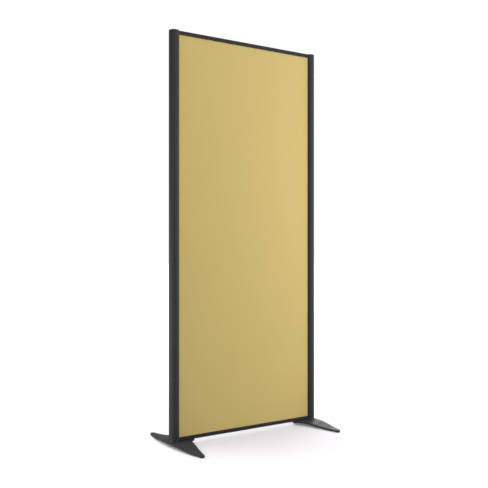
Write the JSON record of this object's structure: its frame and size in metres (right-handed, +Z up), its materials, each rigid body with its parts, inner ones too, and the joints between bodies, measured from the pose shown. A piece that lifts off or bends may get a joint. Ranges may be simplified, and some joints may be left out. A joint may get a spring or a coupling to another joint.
{
  "type": "floor screen",
  "caption": "Free-standing floor screen: round-post metal frame, upholstered mustard panel, arched blade feet and levelling glides.",
  "frame": {"origin": "on the floor, at the centre of the screen's footprint", "axes": "+X along the panel to the right seen from the front, +Y to the rear, +Z up"},
  "size_m": [0.8116, 0.458, 1.8],
  "materials": {
    "frame_coat": "satin",
    "foot_coat": "satin",
    "cap_plastic": "matte",
    "black_rubber": "matte",
    "glide_plastic": "matte",
    "black_zinc": "satin",
    "plain_zinc": "satin",
    "bracket_aluminium": "satin",
    "mustard_cloth": "matte",
    "felt_core": "matte",
    "hardboard": "matte",
    "pine": "matte"
  },
  "bodies": {
    "frame": {"left_post": "frame_coat", "left_top_cap": "cap_plastic", "left_base_cap": "cap_plastic", "left_foot": "foot_coat", "left_foot_gasket": "black_rubber", "left_post_bolt": "black_zinc", "left_post_washer": "black_zinc", "left_rail_bolt": "black_zinc", "left_rail_washer": "black_zinc", "left_rail_nut": "plain_zinc", "bottom_left_bracket": "bracket_aluminium", "top_left_bracket": "bracket_aluminium", "right_post": "frame_coat", "right_top_cap": "cap_plastic", "right_base_cap": "cap_plastic", "right_foot": "foot_coat", "right_foot_gasket": "black_rubber", "right_post_bolt": "black_zinc", "right_post_washer": "black_zinc", "right_rail_bolt": "black_zinc", "right_rail_washer": "black_zinc", "right_rail_nut": "plain_zinc", "bottom_right_bracket": "bracket_aluminium", "top_right_bracket": "bracket_aluminium", "bottom_rail": "frame_coat", "top_rail": "frame_coat", "bracket_post_screws": "plain_zinc", "bracket_rail_screws": "black_zinc", "front_cover": "mustard_cloth", "rear_cover": "mustard_cloth", "front_board": "hardboard", "rear_board": "hardboard", "left_batten": "pine", "right_batten": "pine", "bottom_batten": "pine", "top_batten": "pine", "absorbent_core": "felt_core"},
    "left_front_glide": {"left_front_glide_pad": "glide_plastic", "left_front_glide_stud": "plain_zinc"},
    "left_rear_glide": {"left_rear_glide_pad": "glide_plastic", "left_rear_glide_stud": "plain_zinc"},
    "right_front_glide": {"right_front_glide_pad": "glide_plastic", "right_front_glide_stud": "plain_zinc"},
    "right_rear_glide": {"right_rear_glide_pad": "glide_plastic", "right_rear_glide_stud": "plain_zinc"}
  },
  "joints": [
    {"name": "left_front_glide_thread", "type": "slide", "parent": "frame", "child": "left_front_glide", "axis": [0, 0, -1], "range_m": [0, 0.003]},
    {"name": "left_rear_glide_thread", "type": "slide", "parent": "frame", "child": "left_rear_glide", "axis": [0, 0, -1], "range_m": [0, 0.003]},
    {"name": "right_front_glide_thread", "type": "slide", "parent": "frame", "child": "right_front_glide", "axis": [0, 0, -1], "range_m": [0, 0.003]},
    {"name": "right_rear_glide_thread", "type": "slide", "parent": "frame", "child": "right_rear_glide", "axis": [0, 0, -1], "range_m": [0, 0.003]}
  ]
}
